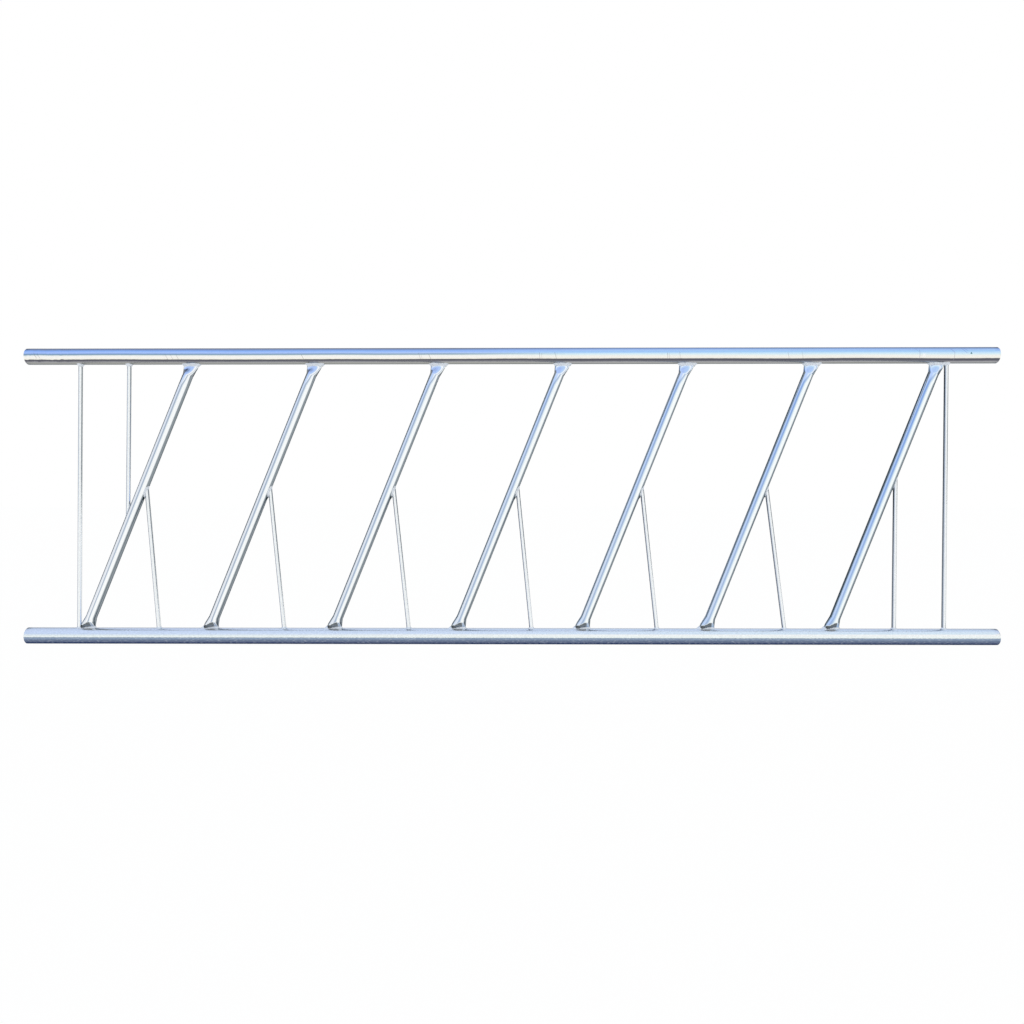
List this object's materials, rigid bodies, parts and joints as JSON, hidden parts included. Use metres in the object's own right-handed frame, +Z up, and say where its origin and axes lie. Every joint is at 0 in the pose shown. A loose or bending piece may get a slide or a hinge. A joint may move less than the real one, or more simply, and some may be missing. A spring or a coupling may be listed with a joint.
{
  "type": "slant bar feeder panel",
  "caption": "Welded tube panel with leaning bars between round rails, rod braces and end rods, through which cattle reach a feed trough.",
  "frame": {"origin": "middle of the bottom rail's left end, on the rail's axis, where the panel is held", "axes": "+X along the rails to the panel's right end, +Y to the back, through the panel, +Z up; the bars lean towards +X as they rise"},
  "size_m": [3.048, 0.0508, 0.9334],
  "materials": {
    "tube_zinc": "bright hot-dip zinc, smooth, with soft ripples",
    "rod_zinc": "hot-dip zinc, finely grained",
    "weld_zinc": "hot-dip zinc over weld beads, lumpy and pale"
  },
  "bodies": {
    "root": {"bottom_rail": "tube_zinc", "top_rail": "tube_zinc", "slant_bar_1": "tube_zinc", "slant_bar_2": "tube_zinc", "slant_bar_3": "tube_zinc", "slant_bar_4": "tube_zinc", "slant_bar_5": "tube_zinc", "slant_bar_6": "tube_zinc", "slant_bar_7": "tube_zinc", "left_end_rod": "rod_zinc", "right_end_rod": "rod_zinc", "corner_rod": "rod_zinc", "brace_rod_1": "rod_zinc", "brace_rod_2": "rod_zinc", "brace_rod_3": "rod_zinc", "brace_rod_4": "rod_zinc", "brace_rod_5": "rod_zinc", "brace_rod_6": "rod_zinc", "brace_rod_7": "rod_zinc", "weld_slant_bar_1_foot": "weld_zinc", "weld_slant_bar_1_head": "weld_zinc", "weld_slant_bar_2_foot": "weld_zinc", "weld_slant_bar_2_head": "weld_zinc", "weld_slant_bar_3_foot": "weld_zinc", "weld_slant_bar_3_head": "weld_zinc", "weld_slant_bar_4_foot": "weld_zinc", "weld_slant_bar_4_head": "weld_zinc", "weld_slant_bar_5_foot": "weld_zinc", "weld_slant_bar_5_head": "weld_zinc", "weld_slant_bar_6_foot": "weld_zinc", "weld_slant_bar_6_head": "weld_zinc", "weld_slant_bar_7_foot": "weld_zinc", "weld_slant_bar_7_head": "weld_zinc", "weld_left_end_rod_foot": "weld_zinc", "weld_left_end_rod_head": "weld_zinc", "weld_right_end_rod_foot": "weld_zinc", "weld_right_end_rod_head": "weld_zinc", "weld_corner_rod_foot": "weld_zinc", "weld_corner_rod_head": "weld_zinc", "weld_brace_rod_1_foot": "weld_zinc", "weld_brace_rod_1_head": "weld_zinc", "weld_brace_rod_2_foot": "weld_zinc", "weld_brace_rod_2_head": "weld_zinc", "weld_brace_rod_3_foot": "weld_zinc", "weld_brace_rod_3_head": "weld_zinc", "weld_brace_rod_4_foot": "weld_zinc", "weld_brace_rod_4_head": "weld_zinc", "weld_brace_rod_5_foot": "weld_zinc", "weld_brace_rod_5_head": "weld_zinc", "weld_brace_rod_6_foot": "weld_zinc", "weld_brace_rod_6_head": "weld_zinc", "weld_brace_rod_7_foot": "weld_zinc", "weld_brace_rod_7_head": "weld_zinc"}
  },
  "joints": []
}
